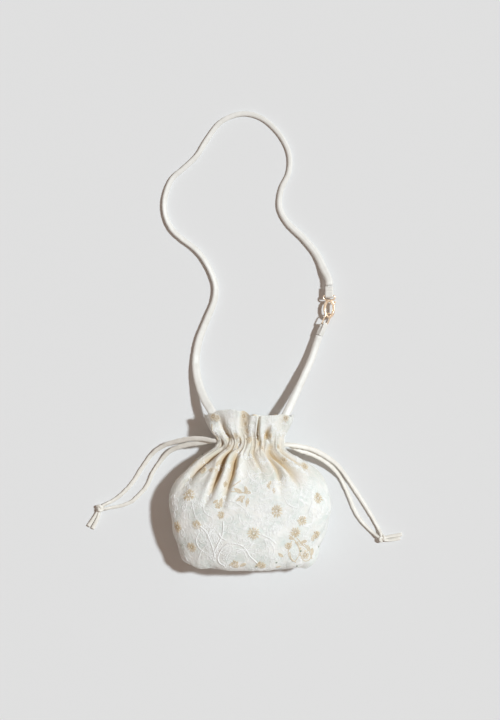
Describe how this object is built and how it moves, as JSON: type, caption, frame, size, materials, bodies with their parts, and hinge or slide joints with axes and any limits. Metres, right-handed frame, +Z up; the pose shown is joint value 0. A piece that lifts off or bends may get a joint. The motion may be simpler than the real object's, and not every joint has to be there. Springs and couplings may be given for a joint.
{
  "type": "reticule",
  "caption": "Small gathered drawstring pouch lying on its back, with a ruffled mouth, knotted strings and a long clasped shoulder cord laid out in a wavy loop.",
  "frame": {"origin": "middle of the pouch's underside, on the surface that it lies on", "axes": "+Z up out of the surface, +Y from the pouch's base through its ruffled mouth to the cord's far bend, +X to the right seen from above"},
  "size_m": [0.4097, 0.596, 0.0705],
  "materials": {
    "embroidered satin": "ivory satin under a sheer layer with tan and white floral embroidery",
    "satin cord": "ivory satin",
    "gold metal": "polished light gold plating"
  },
  "bodies": {
    "bag": {"pouch": "embroidered satin", "base_panel": "embroidered satin", "drawstring_left": "satin cord", "drawstring_right": "satin cord", "knot_left": "satin cord", "knot_right": "satin cord", "strap_long": "satin cord", "strap_short": "satin cord", "tab_upper": "satin cord", "tab_lower": "satin cord", "clasp_body": "gold metal", "d_ring": "gold metal"},
    "lever": {"clasp_lever": "gold metal"}
  },
  "joints": [
    {"name": "clasp_lever", "type": "hinge", "parent": "bag", "child": "lever", "pos_m": [0.1082, 0.2415, 0.0095], "axis": [0, 0, -1], "range_deg": [0, 22], "stiffness_Nm_per_rad": 0.01, "springref_deg": -22.92}
  ]
}
